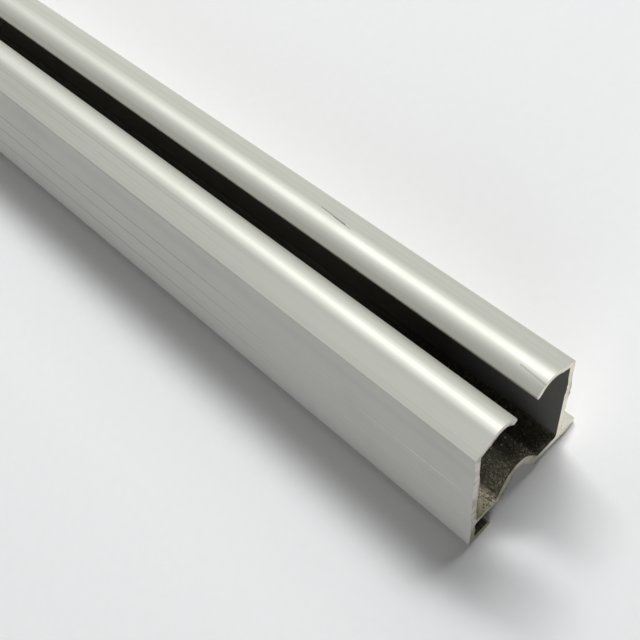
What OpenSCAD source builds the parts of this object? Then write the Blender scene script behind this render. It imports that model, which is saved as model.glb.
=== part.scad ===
// Extruded aluminium channel profile, sold as cut lengths of raw stock.
// One section runs the whole length: two side walls, a web with a rounded hump along its middle,
// two arched lips that close the top down to a narrow slot, a flange that carries the web out past
// one wall, and a foot under the other wall that forms a groove below the web.
// The section is drawn upright about the middle of the slot, with the shoulders at height zero.
// The finished bar lies along X as it comes to rest on a floor, leaning until foot and flange touch it.

/* [Stock] */
// Length that the bar is cut to
stock_length = 1000; // [250:10:3000]

/* [Channel] */
// Width over the two side walls
channel_width = 25; // [22:0.5:32]
// Depth from the shoulders down to the top of the web
channel_depth = 23.2; // [16:0.1:40]
// Thickness of the side walls
wall = 1.3; // [1:0.1:1.8]
// Thickness of the web, of its hump and of the flange
web = 1.6; // [1.2:0.1:2.2]
// Radius of the fillets in the square inside corners
corner_fillet = 0.6; // [0.3:0.1:1]

/* [Hump] */
// Height of the hump's crest above the web
hump_height = 5.6; // [4:0.1:8]
// Outside radius of the hump's crest
hump_radius = 3.8; // [2.6:0.1:5]
// Slope of the hump's sides, in degrees
hump_slope = 55; // [45:1:70]

/* [Lips] */
// Clear width of the slot between the two lip tips
slot_width = 5; // [4:0.1:6.5]
// Thickness of the lips
lip = 1.1; // [0.9:0.1:1.4]
// Slope from the shoulder up to the crest, in degrees
lip_rise = 27; // [18:1:34]
// Slope from the crest down to the tip, in degrees
lip_fall = 47; // [38:1:54]
// Outside radius of the rounded crest
crest_radius = 4.4; // [3.4:0.1:5.2]
// Straight run of the falling slope, from the crest's arc to the round tip
fall_run = 0.8; // [0.2:0.1:1.6]

/* [Flange and foot] */
// Reach of the flange past the side wall
flange_reach = 4.2; // [2:0.1:9]
// Clear height of the groove between web and foot
groove_height = 5.2; // [3:0.1:8]
// Width of the foot over the wall that carries it
foot_width = 5.7; // [3.5:0.1:10]
// Thickness of the foot
foot = 1.4; // [1:0.1:2]

/* [Hidden] */
$fn = 96;

// Longer than any side of the section, for shapes that run on past it
far = 4 * channel_width;
// Arcs stand proud of the slopes that they touch by this much, so that the two always cross
proud = 0.0001;

// Levels of the section, measured from the shoulders
half_width = channel_width / 2;
web_top = -channel_depth;
web_bottom = web_top - web;
foot_top = web_bottom - groove_height;
foot_bottom = foot_top - foot;

// From the middle of the slot, a lip goes out to the centre of its round tip, up the falling slope and
// round the arc. The crest's centre lies one radius below the rising slope, which starts at the shoulder.
tip_inset = (slot_width + lip) / 2;
crest_offset = tip_inset + fall_run * cos(lip_fall) + (crest_radius - lip / 2) * sin(lip_fall);
crest_level = ((half_width - crest_offset) * sin(lip_rise) - crest_radius) / cos(lip_rise);

// The walls end inside the lips, halfway up the band that a lip fills over the whole wall.
wall_top = (wall * tan(lip_rise) - lip / cos(lip_rise)) / 2;

// At rest the foot's inner edge and the flange's outer edge both lie on the floor.
foot_edge = [foot_width - half_width, foot_bottom];
flange_edge = [half_width + flange_reach, web_bottom];
rest_tilt = atan2(flange_edge.y - foot_edge.y, flange_edge.x - foot_edge.x);

// Sideways reach of the leaning section, and its floor
left_reach = leaned([-half_width, foot_bottom]).x;
right_reach = max(leaned([half_width, 0]).x, leaned([flange_edge.x, web_top]).x);
floor_level = leaned(foot_edge).y;

// A point of the upright section after the bar has leaned over to rest
function leaned(point) = [
    point.x * cos(rest_tilt) + point.y * sin(rest_tilt),
    point.y * cos(rest_tilt) - point.x * sin(rest_tilt)
];

// Concave fillet in a square corner whose faces run off along X and Y, turned by an angle
module fillet(corner, turn) {
    translate(corner) rotate(turn) difference() {
        square(corner_fillet);
        translate([corner_fillet, corner_fillet]) circle(corner_fillet);
    }
}

// Everything under an endless arch about the origin: a round crest with a straight slope on each side,
// tangent to it, that falls at its own angle
module under_arch(radius, right_slope, left_slope) {
    circle(radius + proud);
    intersection() {
        union() {
            rotate(-right_slope) translate([0, -far]) square([far, far + radius]);
            rotate(180 + left_slope) translate([0, -radius]) square([far, far + radius]);
        }
        rotate(-right_slope) translate([-far, -far]) square([2 * far, far + radius]);
        rotate(180 + left_slope) translate([-far, -radius]) square([2 * far, far + radius]);
    }
}

// Arched lip on the right: up from the shoulder, over the crest and down to the round tip.
// The wall's outer face trims the rising slope, and the tip's circle ends the falling one.
module lip_section() {
    translate([0, -far]) intersection() {
        square([half_width, 2 * far]);
        translate([crest_offset, far + crest_level]) {
            intersection() {
                difference() {
                    under_arch(crest_radius, lip_rise, lip_fall);
                    under_arch(crest_radius - lip, lip_rise, lip_fall);
                }
                rotate(180 + lip_fall) translate([-far, -far]) square([far + fall_run, 2 * far]);
            }
            rotate(180 + lip_fall) translate([fall_run, lip / 2 - crest_radius]) circle(lip / 2 + proud);
        }
    }
}

// Web from wall to wall and out to the flange's edge, raised along its middle into a hollow hump
module web_section() {
    hump_level = web_top + hump_height - hump_radius;
    difference() {
        translate([-half_width, web_bottom]) intersection() {
            square([channel_width + flange_reach, far]);
            union() {
                square([channel_width + flange_reach, web]);
                translate([half_width, hump_level - web_bottom]) under_arch(hump_radius, hump_slope, hump_slope);
            }
        }
        translate([0, hump_level]) under_arch(hump_radius - web, hump_slope, hump_slope);
    }
}

module wall_section(bottom) {
    translate([half_width - wall, bottom]) square([wall, wall_top - bottom]);
    fillet([half_width - wall, web_top], 90);
}

// Side of the channel with the flange: short wall, fillet on top of the flange
module flange_side() {
    wall_section(web_bottom);
    fillet([half_width, web_top], 0);
    lip_section();
}

// Side of the channel with the foot, drawn on the right and mirrored into place
module foot_side() {
    wall_section(foot_bottom);
    fillet([half_width - wall, web_bottom], 180);
    translate([half_width - foot_width, foot_bottom]) square([foot_width, foot]);
    fillet([half_width - wall, foot_top], 90);
    lip_section();
}

module section() {
    web_section();
    flange_side();
    mirror([1, 0]) foot_side();
}

module profile() {
    color([0.78, 0.78, 0.73])
        translate([-stock_length / 2, -(left_reach + right_reach) / 2, -floor_level])
            rotate([-rest_tilt, 0, 0])
                rotate([90, 0, 90])
                    linear_extrude(stock_length) section();
}

profile();
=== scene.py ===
"""Dresses an extruded aluminium channel bar: its fine section, sawn ends, swarf, mill finish and stage."""

import math

import bpy
import numpy as np
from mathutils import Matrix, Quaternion, Vector


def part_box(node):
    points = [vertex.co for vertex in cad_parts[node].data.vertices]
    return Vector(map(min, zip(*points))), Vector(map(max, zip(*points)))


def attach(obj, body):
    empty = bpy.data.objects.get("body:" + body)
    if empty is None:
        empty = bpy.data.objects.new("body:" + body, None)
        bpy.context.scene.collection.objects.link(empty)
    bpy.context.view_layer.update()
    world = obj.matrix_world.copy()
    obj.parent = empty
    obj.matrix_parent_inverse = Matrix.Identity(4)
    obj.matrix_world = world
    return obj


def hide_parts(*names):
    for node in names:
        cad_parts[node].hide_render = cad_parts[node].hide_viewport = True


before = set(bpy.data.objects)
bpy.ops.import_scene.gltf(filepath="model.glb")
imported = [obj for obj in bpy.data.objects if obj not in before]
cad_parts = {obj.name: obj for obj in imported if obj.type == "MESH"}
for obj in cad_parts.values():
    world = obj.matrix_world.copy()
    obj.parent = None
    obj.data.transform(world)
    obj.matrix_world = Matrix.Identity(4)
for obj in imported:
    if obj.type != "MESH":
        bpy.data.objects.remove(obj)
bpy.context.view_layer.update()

bl_info = {
    "name": "Extruded channel bar",
    "version": (1, 0, 0),
    "blender": (4, 5, 0),
    "location": "View3D > Sidebar > Channel bar",
    "description": "Builds a mill-finish aluminium channel bar with sawn ends, and a plain stage for it",
    "category": "Object",
}

# Lines that the die draws along the bar: run past the foot side's shoulder and width in millimetres,
# strength. Those before the shoulder lie on the lip's slope, the others on the plain wall.
DIE_LINES = (
    (11.7, 0.42, 1.0), (17.7, 0.48, 0.85), (24.4, 0.50, 0.75), (4.6, 0.16, 0.3),
    (0.2, 0.40, 0.6), (-2.3, 0.26, 0.3), (-3.9, 0.22, 0.5), (-4.7, 0.18, 0.35))

# Straight marks on the metal, from start to end: how far in from the near end and how far round the section,
# then width, all in millimetres, and strength. Gouges count from the crest on the flange's side, scratches
# from the shoulder on the foot's side.
GOUGES = (
    ((54.5, -2.55), (48.0, -2.10), 0.16, 1.0),
    ((51.0, -2.10), (46.5, -1.85), 0.10, 1.0),
    # The last mark is a soft dark streak along the crest's inner side, by the near end.
    ((5.5, 1.00), (0.0, 1.40), 0.28, 0.3))
SCRATCHES = (
    ((26.0, 13.30), (2.5, 12.95), 0.11, 0.6),
    ((14.0, 13.15), (4.2, 13.00), 0.15, 0.55))

# Share of its width over which a mark or a die line is at full strength
MARK_CORE = 0.2
LINE_CORE = 0.25

BAR_LOW, BAR_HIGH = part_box("profile")
RUN_MAP = "along_and_round"
MM = 0.001
MICRON = 0.000001
# Width of the camera's sensor, in millimetres
SENSOR_WIDTH = 36.0

# Spacing of points on the section's straight stretches and on its arcs, and the fewest and most on an arc
STRAIGHT_STEP = 0.45 * MM
ARC_STEP = 0.11 * MM
ARC_FEWEST, ARC_MOST = 5, 40
# Even rings along the bar, and how far from its ends they stop
RINGS = 41
RING_MARGIN = 2 * MM
# Rings that keep the bar straight, by their depth behind a sawn face
HOLD_RINGS = (0.5 * MM, 0.12 * MM)
# Share of the setback that the tallest burr takes
BURR_SHARE = 0.95
# Knots round the section between which the burrs rise and fall, in patches and tooth by tooth
PATCH_KNOTS = 70
TOOTH_KNOTS = 900
# Seeds of the random draws
PATCH_SEED, TOOTH_SEED, SWARF_SEED = 11, 21, 7


def length(name, description, default):
    """Length in metres."""
    return bpy.props.FloatProperty(
        name=name, description=description, default=default, unit="LENGTH", precision=5)


def angle(name, description, default):
    """Angle whose default is given in degrees."""
    return bpy.props.FloatProperty(
        name=name, description=description, default=math.radians(default), subtype="ANGLE")


def colour(name, description, default):
    """Colour of three linear parts."""
    return bpy.props.FloatVectorProperty(
        name=name, description=description, default=default, subtype="COLOR", size=3, min=0.0, max=1.0)


def place(name, description, default):
    """Point in metres."""
    return bpy.props.FloatVectorProperty(
        name=name, description=description, default=default, subtype="XYZ", unit="LENGTH", size=3,
        precision=5)


def power(name, description, default):
    """Power of a lamp in watts."""
    return bpy.props.FloatProperty(name=name, description=description, default=default, unit="POWER")


def strength(name, description, default):
    """Strength of the world's light, where 1 is white."""
    return bpy.props.FloatProperty(name=name, description=description, default=default)


class BarSection(bpy.types.PropertyGroup):
    """Sizes of the extruded section, upright about the middle of its slot."""

    channel_width: length("Channel width", "Width over the two side walls", 25.0 * MM)
    channel_depth: length("Channel depth", "Depth from the shoulders to the top of the web", 23.2 * MM)
    wall: length("Wall", "Thickness of the side walls", 1.3 * MM)
    web: length("Web", "Thickness of the web, its hump and the flange", 1.6 * MM)
    corner_fillet: length("Corner fillet", "Radius in the square inside corners", 0.6 * MM)
    hump_height: length("Hump height", "Height of the hump's crest above the web", 5.6 * MM)
    hump_radius: length("Hump radius", "Outside radius of the hump's crest", 3.8 * MM)
    hump_slope: angle("Hump slope", "Slope of the hump's sides", 55.0)
    slot_width: length("Slot width", "Clear width between the lip tips", 5.0 * MM)
    lip: length("Lip", "Thickness of the lips", 1.1 * MM)
    lip_rise: angle("Lip rise", "Slope from the shoulder to the crest", 27.0)
    lip_fall: angle("Lip fall", "Slope from the crest to the tip", 47.0)
    crest_radius: length("Crest radius", "Outside radius of the lip's crest", 4.4 * MM)
    fall_run: length("Fall run", "Straight run from the crest's arc to the round tip", 0.8 * MM)
    flange_reach: length("Flange reach", "Reach of the flange past the wall", 4.2 * MM)
    groove_height: length("Groove height", "Clear height between web and foot", 5.2 * MM)
    foot_width: length("Foot width", "Width of the foot over its wall", 5.7 * MM)
    foot: length("Foot", "Thickness of the foot", 1.4 * MM)
    edge_round: length("Edge round", "Radius that the die leaves on the sharp edges", 0.16 * MM)


class SawnEnds(bpy.types.PropertyGroup):
    """What the saw leaves at the two ends of the bar."""

    setback: length("Setback", "Depth of the sawn face behind the tips of its burrs", 0.3 * MM)
    burr_flare: length("Burr flare", "How far the burrs lean out past the section", 0.09 * MM)
    burr_inset: length("Burr inset", "Width of the torn edge on the sawn face", 0.07 * MM)
    swarf_reach: length("Swarf reach", "How far the swarf lies into the channel", 24.0 * MM)
    swarf_size: length("Swarf size", "Size of the larger crumbs of swarf", 0.6 * MM)
    swarf_count: bpy.props.IntProperty(
        name="Swarf crumbs", description="Crumbs of swarf at each end", default=900, min=1)
    # The oil reach and whole set how far in from the ends the painted shade inside the channel grows darker.
    end_shade_reach: length("Oil reach", "How far the saw's oil has crept in from the ends", 60.0 * MM)
    end_shade_whole: length("Oil whole", "Distance from the ends up to which the oil is whole", 12.0 * MM)
    # The drift reach and whole set how far in from the ends the painted strip of light lies.
    lit_strip_reach: length("Drift reach", "How far the drift of dust lies in from the ends", 30.0 * MM)
    lit_strip_whole: length("Drift whole", "Distance from the ends up to which the drift is whole", 8.0 * MM)


class MillFinish(bpy.types.PropertyGroup):
    """Colours of the bar's bare metal and of what lies on it."""

    # The metal's warm yellow tint, which the duller streaks share, is a painted reflection of warm
    # surroundings. The plain wall's paler, greyer metal is painted light: it brightens the wall and leaves
    # that tint out.
    metal: colour("Metal", "Bare mill-finish aluminium", (0.59, 0.585, 0.51))
    oxide: colour("Oxide", "Duller streaks along the extrusion", (0.51, 0.505, 0.435))
    plain: colour("Plain wall", "Cleaner, greyer metal of the plain wall", (0.65, 0.65, 0.61))
    line: colour("Die line", "Dark lines drawn by the die", (0.40, 0.40, 0.365))
    gouge: colour("Gouge", "Grimy gouges", (0.09, 0.085, 0.075))
    scratch: colour("Scratch", "Fresh metal in scratches", (0.93, 0.93, 0.91))
    # The film inside the channel and the darker oil by the ends are painted shade.
    inside_shade: colour("Grime", "Film inside the channel", (0.42, 0.41, 0.37))
    # The grit's dark tone is painted shade on the channel's floor, among the dust.
    shaded_grit: colour("Grit", "Dark grit on the channel's floor", (0.05, 0.044, 0.027))
    dust: colour("Dust", "Pale dust on the channel's floor", (0.17, 0.15, 0.092))
    end_shade: colour("Oil", "Dark film that the saw's oil leaves by the ends", (0.14, 0.135, 0.118))
    # The pale drift is painted light: a lit strip of the channel's floor by the ends.
    lit_strip: colour("Drift", "Pale drift of dust between hump and wall by the ends", (0.43, 0.385, 0.265))
    swarf: colour("Swarf", "Bright crumbs of swarf", (0.56, 0.52, 0.38))
    dull: colour("Dull metal", "Dull, dusty metal on the flange", (0.40, 0.39, 0.31))
    cut: colour("Sawn metal", "Freshly sawn metal", (0.76, 0.715, 0.69))
    fresh: colour("Fresh cut", "Cleaner sawn metal on the flange's side", (0.92, 0.87, 0.75))
    smear: colour("Smear", "Tarnished smears on the sawn metal", (0.27, 0.25, 0.165))


class BarStage(bpy.types.PropertyGroup):
    """Floor, light and camera."""

    floor: colour("Floor", "Plain pale floor", (0.985, 0.965, 0.925))
    floor_size: length("Floor size", "Side of the square floor", 14.0)
    sky: strength("Sky", "Strength of the even light from all round", 0.035)
    backdrop: strength("Backdrop", "Strength of the pale backdrop that shows and that metal mirrors", 0.52)
    floor_near: length("Floor near", "Distance from the bar to which the floor is whole", 0.3)
    floor_far: length("Floor far", "Distance from the bar at which the floor has faded out", 0.75)
    lamp_power: power("Lamp power", "Power of the long lamp that casts the shadow", 42.0)
    lamp_size: length("Lamp size", "Width of the long lamp", 0.29)
    lamp_length: length("Lamp length", "Length of the long lamp, along the bar", 1.76)
    lamp_colour: colour("Lamp colour", "Tint of the long lamp", (0.92, 0.95, 1.0))
    lamp_place: place("Lamp place", "Middle of the long lamp", (-0.056, 1.067, 1.859))
    side_power: power("Side power", "Power of the wide panel beside the bar", 5.5)
    side_size: length("Side size", "Side of the wide panel beside the bar", 0.6)
    side_place: place("Side place", "Middle of the wide panel beside the bar", (-0.45, 1.28, 1.36))
    front_power: power("Front power", "Power of the wide panel before the plain wall", 28.0)
    front_size: length("Front size", "Side of the wide panel before the plain wall", 2.1)
    front_colour: colour("Front colour", "Tint of the wide panel before the plain wall", (0.88, 0.92, 1.0))
    front_place: place("Front place", "Middle of the wide panel before the plain wall", (2.13, -2.4, 1.2))
    eye: place("Eye", "Camera, from the middle of the near end's foot line", (0.04026, -0.02676, 0.17199))
    aim: place("Aim", "Point in the middle of the picture, from the same place", (-0.03901, -0.00441, 0.028))
    roll: angle("Roll", "Turn of the camera about its line of sight", -34.57)
    lens: bpy.props.FloatProperty(
        name="Lens", description="Focal length on a 36 mm sensor", default=53.02, unit="CAMERA")


class Wire:
    """An output socket of a node tree, on which sums add Math nodes and node() adds any other node."""

    def __init__(self, tree, socket=None):
        self.tree = tree
        self.socket = socket

    def node(self, kind, settings=None, sockets=None, out=0):
        """Adds a node, makes its settings, then fills its sockets with values or wires."""
        made = self.tree.nodes.new(kind)
        for key, value in (settings or {}).items():
            setattr(made, key, value)
        for key, value in (sockets or {}).items():
            if isinstance(value, Wire):
                self.tree.links.new(value.socket, made.inputs[key])
            else:
                made.inputs[key].default_value = value
        return Wire(self.tree, made.outputs[out]) if made.outputs else None

    def math(self, operation, *terms):
        """Math node on values or wires."""
        return self.node("ShaderNodeMath", {"operation": operation}, dict(enumerate(terms)))

    def __add__(self, other):
        return self.math("ADD", self, other)

    def __sub__(self, other):
        return self.math("SUBTRACT", self, other)

    def __rsub__(self, other):
        return self.math("SUBTRACT", other, self)

    def __mul__(self, other):
        return self.math("MULTIPLY", self, other)

    def __truediv__(self, other):
        return self.math("DIVIDE", self, other)

    __radd__ = __add__
    __rmul__ = __mul__

    def size(self):
        """The value without its sign."""
        return self.math("ABSOLUTE", self)

    def step(self, low, high):
        """Smooth step from 0 at low to 1 at high."""
        return self.node(
            "ShaderNodeMapRange", {"interpolation_type": "SMOOTHSTEP"},
            {"Value": self, "From Min": low, "From Max": high})

    def fade(self, whole, gone):
        """Smooth step from 1 at whole down to 0 at gone, which is the larger number."""
        return 1 - self.step(whole, gone)

    def blend(self, first, second):
        """Colour that goes from first to second, each a wire or a plain colour, as this goes from 0 to 1."""
        sockets = {0: self}
        for key, tone in ((6, first), (7, second)):
            sockets[key] = tone if isinstance(tone, Wire) else (*tone, 1.0)
        return self.node("ShaderNodeMix", {"data_type": "RGBA"}, sockets, 2)

    def joined(self, x, y, z):
        """Vector of three numbers."""
        return self.node("ShaderNodeCombineXYZ", None, {0: x, 1: y, 2: z})

    def noise(self, vector, scale, detail, roughness):
        """Noise with about this many features to each unit of the vector."""
        return self.node(
            "ShaderNodeTexNoise", None,
            {"Vector": vector, "Scale": scale, "Detail": detail, "Roughness": roughness})

    def part(self, number):
        """One of the three numbers of a vector."""
        return self.node("ShaderNodeSeparateXYZ", None, {0: self}, number)

    def spot(self):
        """Place on the piece, in metres."""
        return self.node("ShaderNodeTexCoord", None, None, "Object")

    def attribute(self, name):
        """Number that the vertices carry under a name."""
        return self.node("ShaderNodeAttribute", {"attribute_name": name}, None, "Fac")

    def bump(self):
        """Normal bent by this value, which is a height in metres."""
        return self.node("ShaderNodeBump", None, {"Strength": 1.0, "Distance": 1.0, "Height": self})


def new_tree(name):
    """Empty material and the wire that its nodes start from."""
    material = bpy.data.materials.new(name)
    material.use_nodes = True
    material.node_tree.nodes.clear()
    return material, Wire(material.node_tree)


def surface(tree, **sockets):
    """Principled surface with these sockets, wired to the material's output."""
    named = {key.replace("_", " ").title(): value for key, value in sockets.items()}
    shader = tree.node("ShaderNodeBsdfPrincipled", None, named)
    tree.node("ShaderNodeOutputMaterial", None, {"Surface": shader})


def scratch(along, around, start, end, width):
    """Mask of a straight scratch on the unrolled surface.

    The point is dropped square onto the line from start to end, held between its ends. The mask is one near
    there, and falls to zero where the distance reaches the width.
    """
    run, climb = end[0] - start[0], end[1] - start[1]
    squared = run * run + climb * climb
    off_u, off_v = along - start[0], around - start[1]
    share = (off_u * run + off_v * climb) / squared
    share = share.node("ShaderNodeClamp", None, {0: share})
    gap_u, gap_v = off_u - share * run, off_v - share * climb
    distance = gap_u.math("SQRT", gap_u * gap_u + gap_v * gap_v)
    return distance.fade(MARK_CORE * width, width)


def section_corners(size):
    """Corner points of the upright section, in order round it, each with the radius that rounds it.

    The two slopes of a lip touch its crest's circle, so they cross at the radius over the cosine of half
    the angle between their normals, on the middle line of that angle. The hump is the same with equal
    slopes, and a lip's tip is a square end whose two corners have half its thickness as radius.
    """
    half = size.channel_width / 2
    web_top = -size.channel_depth
    web_bottom = web_top - size.web
    foot_top = web_bottom - size.groove_height
    foot_bottom = foot_top - size.foot
    rise, fall, flank = size.lip_rise, size.lip_fall, size.hump_slope
    mid_radius = size.crest_radius - size.lip / 2
    offset = (size.slot_width + size.lip) / 2 + size.fall_run * math.cos(fall) + mid_radius * math.sin(fall)
    crest = np.array([
        offset, ((half - offset) * math.sin(rise) - size.crest_radius) / math.cos(rise)])
    normal = np.array([-math.sin(fall), math.cos(fall)])
    down = np.array([-math.cos(fall), -math.sin(fall)])
    tip = crest + mid_radius * normal + (size.fall_run + size.lip / 2) * down
    middle = (fall - rise) / 2
    toward_peak = np.array([-math.sin(middle), math.cos(middle)]) / math.cos((rise + fall) / 2)
    inner = size.crest_radius - size.lip
    hump_level = web_top + size.hump_height - size.hump_radius

    def hump(radius, level):
        """Half width of the hump at a level, and the point where its two slopes cross."""
        peak = hump_level + radius / math.cos(flank)
        return (peak - level) / math.tan(flank), peak

    hump_foot, hump_peak = hump(size.hump_radius, web_top)
    hollow_foot, hollow_peak = hump(size.hump_radius - size.web, web_bottom)
    mirror = np.array([-1.0, 1.0])
    lip_corner = np.array([half - size.wall, size.wall * math.tan(rise) - size.lip / math.cos(rise)])
    edge, fillet = size.edge_round, size.corner_fillet
    # A little less than half the lip, so that the tip's two arcs stay apart
    tip_round = 0.49 * size.lip
    half_section = [
        ("shoulder", (half, 0.0), edge),
        ("crest", crest + size.crest_radius * toward_peak, size.crest_radius),
        ("tip_top", tip + size.lip / 2 * normal, tip_round),
        ("tip_under", tip - size.lip / 2 * normal, tip_round),
        ("inner_crest", crest + inner * toward_peak, inner),
        ("lip_corner", lip_corner, 2 * edge),
        ("web_corner", (half - size.wall, web_top), fillet),
        ("hump_foot", (hump_foot, web_top), 2 * edge),
    ]
    flange_side = [("flange_" + name, np.array(point), radius) for name, point, radius in half_section]
    foot_side = [("foot_" + name, np.array(point) * mirror, radius) for name, point, radius in half_section]
    below = [
        ("heel", (-half, foot_bottom), edge),
        ("toe_bottom", (size.foot_width - half, foot_bottom), edge),
        ("toe_top", (size.foot_width - half, foot_top), edge),
        ("groove_floor", (size.wall - half, foot_top), fillet),
        ("groove_roof", (size.wall - half, web_bottom), fillet),
        ("hollow_foot_left", (-hollow_foot, web_bottom), edge),
        ("hollow_peak", (0.0, hollow_peak), size.hump_radius - size.web),
        ("hollow_foot_right", (hollow_foot, web_bottom), edge),
        ("flange_edge_bottom", (half + size.flange_reach, web_bottom), edge),
        ("flange_edge_top", (half + size.flange_reach, web_top), edge),
        ("flange_root", (half, web_top), fillet),
    ]
    peak = [("hump_peak", (0.0, hump_peak), size.hump_radius)]
    corners = flange_side + peak + foot_side[::-1] + below
    names = [name for name, _, _ in corners]
    points = np.array([point for _, point, _ in corners], float)
    radii = np.array([radius for _, _, radius in corners], float)
    return names, points, radii


def rounded(points, radii, straight_step, arc_step):
    """Closed outline through corner points, each rounded by its radius, with normals.

    A corner's arc starts and ends where its circle touches the two sides, at the radius times the tangent
    of half the turn from the corner. Along an arc the heading turns evenly, and the point lies one radius
    square off the heading from the arc's centre. Between arcs the outline runs straight.
    """
    count = len(points)
    leave = np.roll(points, -1, 0) - points
    leave /= np.linalg.norm(leave, axis=1, keepdims=True)
    enter = np.roll(leave, 1, 0)
    turn = np.arctan2(enter[:, 0] * leave[:, 1] - enter[:, 1] * leave[:, 0], (enter * leave).sum(1))
    reach = (radii * np.tan(np.abs(turn) / 2))[:, None]
    start, end = points - enter * reach, points + leave * reach
    side = np.stack([enter[:, 1], -enter[:, 0]], 1)
    bend = (np.sign(turn) * radii)[:, None]
    centre = start - bend * side
    heading = np.arctan2(enter[:, 1], enter[:, 0])

    def spread(number):
        """Corner index and even share from 0 up to 1 for each point, given how many each corner has."""
        which = np.repeat(np.arange(count), number)
        return which, (np.arange(len(which)) - np.repeat(np.cumsum(number) - number, number)) / number[which]

    arc_counts = np.clip(np.ceil(np.abs(turn) * radii / arc_step), ARC_FEWEST, ARC_MOST)
    arcs, share = spread(arc_counts.astype(int))
    faced = heading[arcs] + share * turn[arcs]
    arc_normal = np.stack([np.sin(faced), -np.cos(faced)], 1)
    arc_point = centre[arcs] + bend[arcs] * arc_normal
    gap = np.roll(start, -1, 0) - end
    spans, part = spread(np.maximum(np.ceil(np.linalg.norm(gap, axis=1) / straight_step), 1).astype(int))
    span_point = end[spans] + part[:, None] * gap[spans]
    span_normal = np.stack([leave[spans, 1], -leave[spans, 0]], 1)
    order = np.concatenate([arcs + 0.5 * share, spans + 0.5 + 0.5 * part])
    ranked = np.argsort(order, kind="stable")
    outline = np.concatenate([arc_point, span_point])[ranked]
    normal = np.concatenate([arc_normal, span_normal])[ranked]
    stride = np.linalg.norm(np.roll(outline, -1, 0) - outline, axis=1)
    run = np.concatenate([[0.0], np.cumsum(stride)])
    corner_run = np.interp(np.arange(count) + 0.25, order[ranked], run[:-1])
    return outline, normal, run, corner_run


def leaned(vectors, tilt):
    """Vectors of the upright section turned over towards +Y by the tilt."""
    y, z = vectors[..., 0], vectors[..., 1]
    return np.stack([y * math.cos(tilt) + z * math.sin(tilt), z * math.cos(tilt) - y * math.sin(tilt)], -1)


def resting_section(size):
    """The section as the bar lies: outline, normals, run round it, and the run at each named corner.

    The bar leans until the foot's inner edge and the flange's outer edge are level, which is the floor,
    and the section's middle lies over the origin.
    """
    names, points, radii = section_corners(size)
    outline, normal, run, corner_run = rounded(points, radii, STRAIGHT_STEP, ARC_STEP)
    at = dict(zip(names, corner_run))
    toe, edge = points[names.index("toe_bottom")], points[names.index("flange_edge_bottom")]
    tilt = math.atan2(edge[1] - toe[1], edge[0] - toe[0])
    sharp = leaned(points, tilt)
    shift = np.array([-(sharp[:, 0].min() + sharp[:, 0].max()) / 2, -sharp[:, 1].min()])
    return leaned(outline, tilt) + shift, leaned(normal, tilt), run, at


def ragged(run, total, knots, seed):
    """Uneven line round the section: random heights at even knots, joined by straight stretches."""
    heights = np.random.default_rng(seed).random(knots)
    return np.interp(run / total * knots, np.arange(knots + 1), np.append(heights, heights[0]))


def smooth(value, low, high):
    """Smooth step from 0 at low to 1 at high: the share of the way squared, times three less twice itself."""
    share = np.clip((value - low) / (high - low), 0.0, 1.0)
    return share * share * (3 - 2 * share)


def piece_object(name, mesh, *materials):
    """Object at the origin for a finished mesh and its materials."""
    for material in materials:
        mesh.materials.append(material)
    made = bpy.data.objects.new(name, mesh)
    bpy.context.scene.collection.objects.link(made)
    return made


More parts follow.
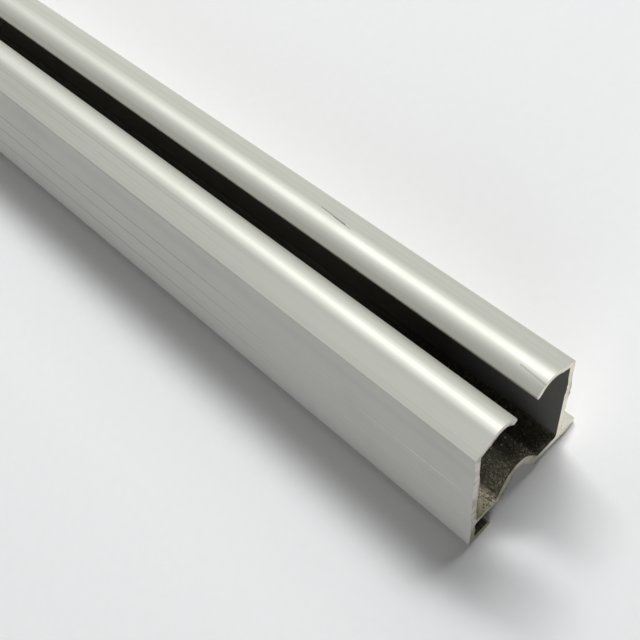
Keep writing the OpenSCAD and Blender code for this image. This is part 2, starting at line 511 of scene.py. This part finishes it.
def bar_mesh(size, ends):
    """The section carried along X in rings, closed by a flat sawn face at each end.

    The last rings at an end form the burr: a rim that leans out and reaches past the sawn face by uneven
    amounts, then falls back to the face just inside the edge.
    """
    outline, normal, run, at = resting_section(size)
    total, points = run[-1], len(outline)
    body = np.linspace(BAR_LOW.x + RING_MARGIN, BAR_HIGH.x - RING_MARGIN, RINGS)
    x_rows, lean_rows = [np.full(points, x) for x in body], [np.zeros(points)] * len(body)
    for side, edge in ((1, BAR_HIGH.x), (-1, BAR_LOW.x)):
        face = edge - side * ends.setback
        # Burrs stand in patches with low stretches between them, and all are toothed.
        patches = smooth(ragged(run[:-1], total, PATCH_KNOTS, PATCH_SEED + side), 0.52, 0.95)
        teeth = 0.35 + 0.65 * ragged(run[:-1], total, TOOTH_KNOTS, TOOTH_SEED + side)
        burr = np.clip(0.08 + patches, 0.0, 1.0) * teeth
        rows = [(np.full(points, face - side * depth), np.zeros(points)) for depth in HOLD_RINGS]
        rows.append((face + side * BURR_SHARE * ends.setback * burr, ends.burr_flare * burr))
        rows.append((np.full(points, face), np.full(points, -ends.burr_inset)))
        for x, lean in rows:
            place_at = len(x_rows) if side > 0 else 0
            x_rows.insert(place_at, x)
            lean_rows.insert(place_at, lean)
    x, lean = np.array(x_rows), np.array(lean_rows)
    rings = len(x)
    across = outline[None] + lean[..., None] * normal[None]
    vertices = np.stack([x, across[..., 0], across[..., 1]], -1)
    vertices = np.clip(vertices, np.array(BAR_LOW), np.array(BAR_HIGH))

    # Quads between neighbouring rings, and one face of many corners at each end
    first = np.arange(rings - 1)[:, None] * points + np.arange(points)[None]
    second = np.arange(rings - 1)[:, None] * points + (np.arange(points)[None] + 1) % points
    quads = np.stack([first, second, second + points, first + points], -1).reshape(-1, 4)
    near_cap = (rings - 1) * points + np.arange(points)
    far_cap = np.arange(points)[::-1]
    loops = np.concatenate([quads.ravel(), near_cap, far_cap])
    sizes = np.concatenate([np.full(len(quads), 4), [points, points]])

    mesh = bpy.data.meshes.new("profile_bar")
    mesh.vertices.add(rings * points)
    mesh.vertices.foreach_set("co", vertices.ravel())
    mesh.loops.add(len(loops))
    mesh.loops.foreach_set("vertex_index", loops)
    mesh.polygons.add(len(sizes))
    mesh.polygons.foreach_set("loop_start", np.cumsum(sizes) - sizes)
    mesh.update(calc_edges=True)
    mesh.validate()

    # The inner slope of the burrs is sawn metal, as the end faces are.
    sawn = np.zeros((rings - 1, points), int)
    sawn[[0, -1]] = 1
    mesh.polygons.foreach_set("material_index", np.concatenate([sawn.ravel(), [1, 1]]))
    mesh.polygons.foreach_set("use_smooth", np.ones(len(sizes), bool))

    # The map holds the place along the bar and the run round the section, and on the end faces the section.
    around = np.broadcast_to(np.stack([run[:-1], run[1:], run[1:], run[:-1]], -1), (rings - 1, points, 4))
    along = np.stack([x[:-1], np.roll(x[:-1], -1, 1), np.roll(x[1:], -1, 1), x[1:]], -1)
    unrolled = np.stack([along, around], -1).reshape(-1, 2)
    caps = np.concatenate([outline, outline[::-1]])
    layer = mesh.uv_layers.new(name=RUN_MAP)
    layer.data.foreach_set("uv", np.concatenate([unrolled, caps]).ravel())

    # Along the bar the normals are the section's own, and at the ends they point out of the sawn faces.
    square_off = np.stack([np.zeros(points), normal[:, 0], normal[:, 1]], -1)
    facing = np.broadcast_to(square_off, (rings, points, 3)).copy()
    facing[-1], facing[0] = (1, 0, 0), (-1, 0, 0)
    corner_normals = np.concatenate([
        facing.reshape(-1, 3)[quads.ravel()],
        np.broadcast_to([1.0, 0, 0], (points, 3)), np.broadcast_to([-1.0, 0, 0], (points, 3))])
    mesh.normals_split_custom_set(corner_normals)

    # Where shade is painted, inside the channel and in the groove, and the floors there, where dust and grit
    # lie with painted shade and a painted strip of light
    inside = smooth(run[:-1], at["flange_tip_under"] - 0.4 * MM, at["flange_inner_crest"])
    inside *= 1 - smooth(run[:-1], at["foot_inner_crest"], at["foot_tip_under"] + 0.4 * MM)
    groove = smooth(run[:-1], at["toe_top"], at["toe_top"] + MM)
    groove *= 1 - smooth(run[:-1], at["hollow_foot_left"] - MM, at["hollow_foot_left"])
    low_floor = smooth(run[:-1], at["flange_web_corner"] - MM, at["flange_web_corner"])
    low_floor *= 1 - smooth(run[:-1], at["foot_web_corner"], at["foot_web_corner"] + MM)
    foot_top = groove * (1 - smooth(run[:-1], at["groove_floor"], at["groove_floor"] + MM))
    for name, values in (("inside", inside + groove), ("low_floor", low_floor + foot_top)):
        layer = mesh.attributes.new(name, "FLOAT", "POINT")
        layer.data.foreach_set("value", np.tile(values, rings).astype(np.float32))
    return mesh, at


def swarf_mesh(size, ends):
    """Crumbs of swarf on the channel's floor at both ends, thickest at the sawn faces.

    A crumb is an eight-faced lump: six points out from its middle, one each way along three square axes
    turned at random, at uneven distances. Most crumbs are small, because a random share cubed sets the size.
    The middle lies a quarter of the size above the section, at a random run between the two walls, and in
    from the end by the reach times a random share squared.
    """
    outline, normal, run, at = resting_section(size)
    chance = np.random.default_rng(SWARF_SEED)
    count = 2 * ends.swarf_count
    grain = ends.swarf_size * (0.3 + 0.7 * chance.random(count) ** 3)
    around = chance.uniform(at["flange_web_corner"], at["foot_web_corner"], count)
    seat = np.stack([np.interp(around, run[:-1], outline[:, axis]) for axis in (0, 1)], 1)
    outward = np.stack([np.interp(around, run[:-1], normal[:, axis]) for axis in (0, 1)], 1)
    inset = ends.setback + grain + ends.swarf_reach * chance.random(count) ** 2
    x = np.where(np.arange(count) % 2, BAR_LOW.x + inset, BAR_HIGH.x - inset)
    middle = np.column_stack([x, seat + outward * grain[:, None] / 4])
    turned, _ = np.linalg.qr(chance.normal(size=(count, 3, 3)))
    turned *= np.sign(np.linalg.det(turned))[:, None, None]
    arms = np.concatenate([np.eye(3), -np.eye(3)]) @ turned
    reach = grain[:, None, None] / 2 * chance.uniform(0.45, 1.0, (count, 6, 1))
    upper = np.array([[0, 1, 2], [1, 3, 2], [3, 4, 2], [4, 0, 2]])
    lower = np.array([[1, 0, 5], [3, 1, 5], [4, 3, 5], [0, 4, 5]])
    faces = np.concatenate([upper, lower])[None] + 6 * np.arange(count)[:, None, None]
    mesh = bpy.data.meshes.new("swarf_crumbs")
    mesh.from_pydata((middle[:, None] + reach * arms).reshape(-1, 3), [], faces.reshape(-1, 3).tolist())
    shine = mesh.attributes.new("shine", "FLOAT", "POINT")
    shine.data.foreach_set("value", np.repeat(chance.random(count), 6).astype(np.float32))
    return mesh


def swarf_finish(colours):
    """Crumbs from dusty to bright, each of one tone, with a little grain."""
    material, tree = new_tree("swarf")
    shine = tree.attribute("shine").step(0.6, 1.0)
    grain = tree.noise(tree.spot(), 7000.0, 2.0, 0.6)
    base = (shine * (0.7 + 0.5 * grain)).blend(colours.dust, colours.swarf)
    surface(tree, base_color=base, metallic=0.1 + 0.5 * shine, roughness=0.62 - 0.25 * shine)
    return material


def mill_finish(colours, ends, at):
    """Satin bare metal with lines along the extrusion, duller streaks, scratches, and painted shade inside.

    Lines and streaks are noise drawn out along the bar. The painted shade inside darkens, and a painted strip
    of light on the channel's floor grows, towards the ends, by smooth steps of the distance from the bar's
    middle.
    """
    material, tree = new_tree("mill_aluminium")
    unrolled = tree.node("ShaderNodeUVMap", {"uv_map": RUN_MAP})
    along, around = unrolled.part(0), unrolled.part(1)
    spot = tree.spot()
    inside, low_floor = tree.attribute("inside"), tree.attribute("low_floor")

    def drawn_out(per_length, per_run, layer, detail, roughness):
        """Noise with about this many features a metre along the bar and round the section."""
        vector = tree.joined(along * per_length, around * per_run, layer)
        return tree.noise(vector, 1.0, detail, roughness)

    def marked(marks, origin):
        """Sum of straight marks, counted in from the near end and round from a place on the section."""
        masks = []
        for start, end, width, weight in marks:
            first, last = ((BAR_HIGH.x - inset * MM, origin + turn * MM) for inset, turn in (start, end))
            masks.append(weight * scratch(along, around, first, last, width * MM))
        return sum(masks[1:], masks[0])

    hairlines = drawn_out(2.2, 5200.0, 0.0, 2.0, 0.6)
    streaks = drawn_out(5.0, 900.0, 3.1, 3.0, 0.55)
    bands = drawn_out(1.4, 240.0, 7.7, 2.0, 0.5)
    breaks = drawn_out(60.0, 500.0, 1.7, 3.0, 0.6)
    bloom = tree.noise(spot, 90.0, 4.0, 0.6)
    specks = tree.noise(spot, 2600.0, 2.0, 0.6)
    grain = tree.noise(spot, 1700.0, 4.0, 0.75)

    shoulder, heel = at["foot_shoulder"], at["heel"]
    wall = around.step(shoulder, shoulder + MM) * around.fade(heel, heel + MM)
    ledge = around.step(at["flange_edge_bottom"], at["flange_edge_top"])
    ledge = ledge * around.fade(at["flange_root"], at["flange_root"] + MM)
    lines = [
        (around - (shoulder + depth * MM)).size().fade(LINE_CORE * width * MM, width * MM) * weight
        for depth, width, weight in DIE_LINES]
    # The die lines are worn away over the last stretch before the near end.
    unworn = along.fade(BAR_HIGH.x - 85 * MM, BAR_HIGH.x - 40 * MM)
    drawn = sum(lines[1:], lines[0]) * breaks.step(0.2, 0.5) * unworn
    gouged = marked(GOUGES, at["flange_crest"])
    bright = marked(SCRATCHES, shoulder) * specks.step(0.25, 0.5)

    shade = streaks.step(0.35, 0.75) * (0.55 - 0.35 * wall) + hairlines.step(0.4, 0.75) * (0.4 - 0.25 * wall)
    shade = shade + bands.step(0.4, 0.7) * 0.2 + bloom.step(0.45, 0.75) * 0.2
    # The plain wall gets its paler, greyer metal here: painted light.
    bare = (wall * 0.8).blend(colours.metal, colours.plain)
    bare = shade.blend(bare, colours.oxide)
    bare = (ledge * (0.55 + 0.4 * specks)).blend(bare, colours.dull)
    bare = (drawn * 0.8).blend(bare, colours.line)
    bare = (gouged * 0.9).blend(bare, colours.gouge)
    bare = bright.blend(bare, colours.scratch)

    from_middle = along.size()
    # Painted shade inside the channel and the groove, darkest by the ends.
    by_end = from_middle.step(BAR_HIGH.x - ends.end_shade_reach, BAR_HIGH.x - ends.end_shade_whole)
    painted_shade = by_end.blend(colours.inside_shade, colours.end_shade)
    bare_and_painted_shade = (inside * 0.93).blend(bare, painted_shade)
    # The floors get a grainy layer, more of it by the ends: dust and grit, where the grit's dark tone is
    # painted shade and the drift below is painted light.
    floor_dust_and_painted_light = low_floor * (0.3 + 0.7 * by_end) * (0.6 + 0.4 * grain.step(0.3, 0.5))
    grainy = grain.step(0.44, 0.62).blend(colours.shaded_grit, colours.dust)
    grainy = specks.step(0.66, 0.74).blend(grainy, colours.swarf)
    # A painted strip of light fills the floor between wall and hump by the ends, and laps a little up the
    # hump's side.
    hump_foot, web_corner = at["foot_hump_foot"], at["foot_web_corner"]
    strip = around.step(hump_foot - 1.2 * MM, hump_foot - 0.5 * MM) * around.fade(web_corner, web_corner + MM)
    near_end = from_middle.step(BAR_HIGH.x - ends.lit_strip_reach, BAR_HIGH.x - ends.lit_strip_whole)
    lit_strip = strip * near_end * grain.step(0.38, 0.52)
    grainy = lit_strip.blend(grainy, colours.lit_strip)
    base = floor_dust_and_painted_light.blend(bare_and_painted_shade, grainy)

    rough = 0.48 + 0.06 * streaks + 0.08 * bloom + 0.22 * inside + 0.2 * floor_dust_and_painted_light + 0.16 * wall
    metal = 0.5 - 0.1 * inside - 0.3 * floor_dust_and_painted_light - 0.3 * ledge - 0.15 * wall
    scored = drawn * (20 * MICRON) + gouged * (30 * MICRON) + bright * (10 * MICRON)
    relief = hairlines * (5 * MICRON) + streaks * (18 * MICRON) + grain * floor_dust_and_painted_light * (200 * MICRON) - scored
    surface(tree, base_color=base, metallic=metal, roughness=rough, normal=relief.bump())
    return material


def sawn_finish(colours):
    """Sawn metal: fine strokes of the blade across the face, with smears and tarnish.

    The flange's side is paler. The foot's side is darker towards the floor, and darkest on the foot itself.
    """
    material, tree = new_tree("sawn_aluminium")
    spot = tree.spot()
    across, up = spot.part(1), spot.part(2)
    sweep = across * 0.35 + up
    strokes = tree.noise(tree.joined(sweep * 5200.0, across * 160.0, 0.4), 1.0, 3.0, 0.6)
    smears = tree.noise(tree.joined(sweep * 1300.0, across * 300.0, 4.4), 1.0, 2.0, 0.5)
    grain = tree.noise(spot, 6000.0, 2.0, 0.6)
    patches = tree.noise(spot, 260.0, 3.0, 0.6)
    foot_side = across.fade(3 * MM, 9 * MM)
    low = up.fade(8 * MM, 26 * MM)
    on_foot = across.fade(-10 * MM, -6 * MM) * up.fade(3 * MM, 8 * MM)
    tarnish = strokes.step(0.4, 0.7) * 0.4 + grain.step(0.5, 0.7) * 0.2 + patches.step(0.45, 0.7) * 0.5
    # Darker towards the floor on the foot's side, and darkest on the foot.
    tarnish = (tarnish + 0.45 * foot_side * low + 0.6 * on_foot) * (0.4 + 0.6 * foot_side)
    clean = foot_side.blend(colours.fresh, colours.cut)
    base = tarnish.blend(clean, colours.smear)
    rough = 0.42 + 0.16 * smears + 0.08 * grain
    relief = strokes * (10 * MICRON) + smears * (12 * MICRON) + grain * (4 * MICRON)
    surface(tree, base_color=base, metallic=0.85, roughness=rough, normal=relief.bump())
    return material


def floor_mesh(stage):
    """Flat square about the origin."""
    half = stage.floor_size / 2
    mesh = bpy.data.meshes.new("floor")
    mesh.from_pydata(
        [(-half, -half, 0.0), (half, -half, 0.0), (half, half, 0.0), (-half, half, 0.0)], [], [(0, 1, 2, 3)])
    return mesh


def floor_finish(stage):
    """Plain pale floor with a faint mottle, whole near the bar and faded out farther off.

    The distance from the bar is the root of two squares: how far a point lies past the bar's ends, and how
    far beside its middle line.
    """
    material, tree = new_tree("pale_floor")
    spot = tree.spot()
    mottle = tree.noise(spot, 420.0, 3.0, 0.6).step(0.3, 0.7)
    base = mottle.blend(stage.floor, [0.985 * part for part in stage.floor])
    past = spot.part(0).size() - BAR_HIGH.x
    past_end = past.math("MAXIMUM", past, 0.0)
    aside = spot.part(1)
    away = past.math("SQRT", past_end * past_end + aside * aside)
    surface(tree, base_color=base, roughness=0.9, alpha=away.fade(stage.floor_near, stage.floor_far))
    return material


def studio_sky(stage):
    """World that lights evenly, and that the camera and mirrors see as a backdrop of another strength."""
    world = bpy.data.worlds.new("even_sky")
    world.use_nodes = True
    world.node_tree.nodes.clear()
    sky = Wire(world.node_tree)
    seen, mirrored, through = [
        sky.node("ShaderNodeLightPath", None, None, kind)
        for kind in ("Is Camera Ray", "Is Glossy Ray", "Is Transmission Ray")]
    shown = sky.math("MAXIMUM", sky.math("MAXIMUM", seen, mirrored), through)
    light = sky.node("ShaderNodeBackground", None, {
        "Color": (1.0, 1.0, 1.0, 1.0), "Strength": stage.sky + (stage.backdrop - stage.sky) * shown})
    sky.node("ShaderNodeOutputWorld", None, {"Surface": light})
    return world


def stage_camera(stage):
    """Camera set out from the foot of the near end, aimed at a point and turned about its line of sight."""
    data = bpy.data.cameras.new("camera")
    data.lens = stage.lens
    data.sensor_width = SENSOR_WIDTH
    data.clip_start = 5 * MM
    camera = bpy.data.objects.new("camera", data)
    bpy.context.scene.collection.objects.link(camera)
    camera.location = Vector((BAR_HIGH.x, 0.0, 0.0)) + Vector(stage.eye)
    sight = Vector(stage.aim) - Vector(stage.eye)
    camera.rotation_mode = "QUATERNION"
    camera.rotation_quaternion = sight.to_track_quat("-Z", "Y") @ Quaternion((0, 0, 1), stage.roll)
    return camera


def soft_lamp(name, middle, side, power, tint=(1.0, 1.0, 1.0), along=None):
    """Lamp that faces the bar's near half, square unless its length along the bar is given."""
    data = bpy.data.lights.new(name, "AREA")
    data.energy = power
    data.color = tint
    data.shape = "RECTANGLE"
    data.size = along or side
    data.size_y = side
    lamp = bpy.data.objects.new(name, data)
    bpy.context.scene.collection.objects.link(lamp)
    lamp.location = Vector(middle)
    toward = Vector((BAR_HIGH.x / 2, 0.0, 0.0)) - lamp.location
    lamp.rotation_mode = "QUATERNION"
    lamp.rotation_quaternion = toward.to_track_quat("-Z", "Y")


class BAR_OT_extrude(bpy.types.Operator):
    """Extrude the bar: the fine section swept along its length, with sawn ends"""

    bl_idname = "bar.extrude"
    bl_label = "Extrude bar"

    def execute(self, context):
        scene = context.scene
        mesh, at = bar_mesh(scene.bar_section, scene.bar_ends)
        bar = piece_object(
            "extruded_bar", mesh, mill_finish(scene.bar_finish, scene.bar_ends, at),
            sawn_finish(scene.bar_finish))
        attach(bar, "root")
        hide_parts("profile")
        return {"FINISHED"}


class BAR_OT_swarf(bpy.types.Operator):
    """Scatter swarf: crumbs that the saw left on the channel's floor at both ends"""

    bl_idname = "bar.swarf"
    bl_label = "Scatter swarf"

    def execute(self, context):
        scene = context.scene
        mesh = swarf_mesh(scene.bar_section, scene.bar_ends)
        swarf = piece_object("swarf", mesh, swarf_finish(scene.bar_finish))
        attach(swarf, "root")
        return {"FINISHED"}


class BAR_OT_stage(bpy.types.Operator):
    """Set the stage: pale floor, backdrop, three soft lamps and the camera"""

    bl_idname = "bar.stage"
    bl_label = "Set stage"

    def execute(self, context):
        scene, stage = context.scene, context.scene.bar_stage
        scene.view_settings.view_transform = "Standard"
        floor = piece_object("floor", floor_mesh(stage), floor_finish(stage))
        scene.world = studio_sky(stage)
        soft_lamp(
            "long_lamp", stage.lamp_place, stage.lamp_size, stage.lamp_power, stage.lamp_colour,
            stage.lamp_length)
        soft_lamp("side_panel", stage.side_place, stage.side_size, stage.side_power)
        soft_lamp("front_panel", stage.front_place, stage.front_size, stage.front_power, stage.front_colour)
        scene.camera = stage_camera(stage)
        return {"FINISHED"}


class BAR_PT_panel(bpy.types.Panel):
    """Lists the sizes, colours and steps of the bar"""

    bl_idname = "BAR_PT_panel"
    bl_label = "Channel bar"
    bl_space_type = "VIEW_3D"
    bl_region_type = "UI"
    bl_category = "Channel bar"

    def draw(self, context):
        for operator in OPERATORS:
            self.layout.operator(operator.bl_idname)
        for name in GROUPS:
            group = getattr(context.scene, name)
            box = self.layout.box()
            for prop in group.__annotations__:
                box.prop(group, prop)


GROUPS = {"bar_section": BarSection, "bar_ends": SawnEnds, "bar_finish": MillFinish, "bar_stage": BarStage}
OPERATORS = (BAR_OT_extrude, BAR_OT_swarf, BAR_OT_stage)
CLASSES = (*GROUPS.values(), *OPERATORS, BAR_PT_panel)


def register():
    for made in CLASSES:
        bpy.utils.register_class(made)
    for name, group in GROUPS.items():
        setattr(bpy.types.Scene, name, bpy.props.PointerProperty(type=group))


def unregister():
    for name in GROUPS:
        delattr(bpy.types.Scene, name)
    for made in reversed(CLASSES):
        bpy.utils.unregister_class(made)


def main():
    register()
    bpy.ops.bar.extrude()
    bpy.ops.bar.swarf()
    bpy.ops.bar.stage()


if __name__ == "__main__":
    main()
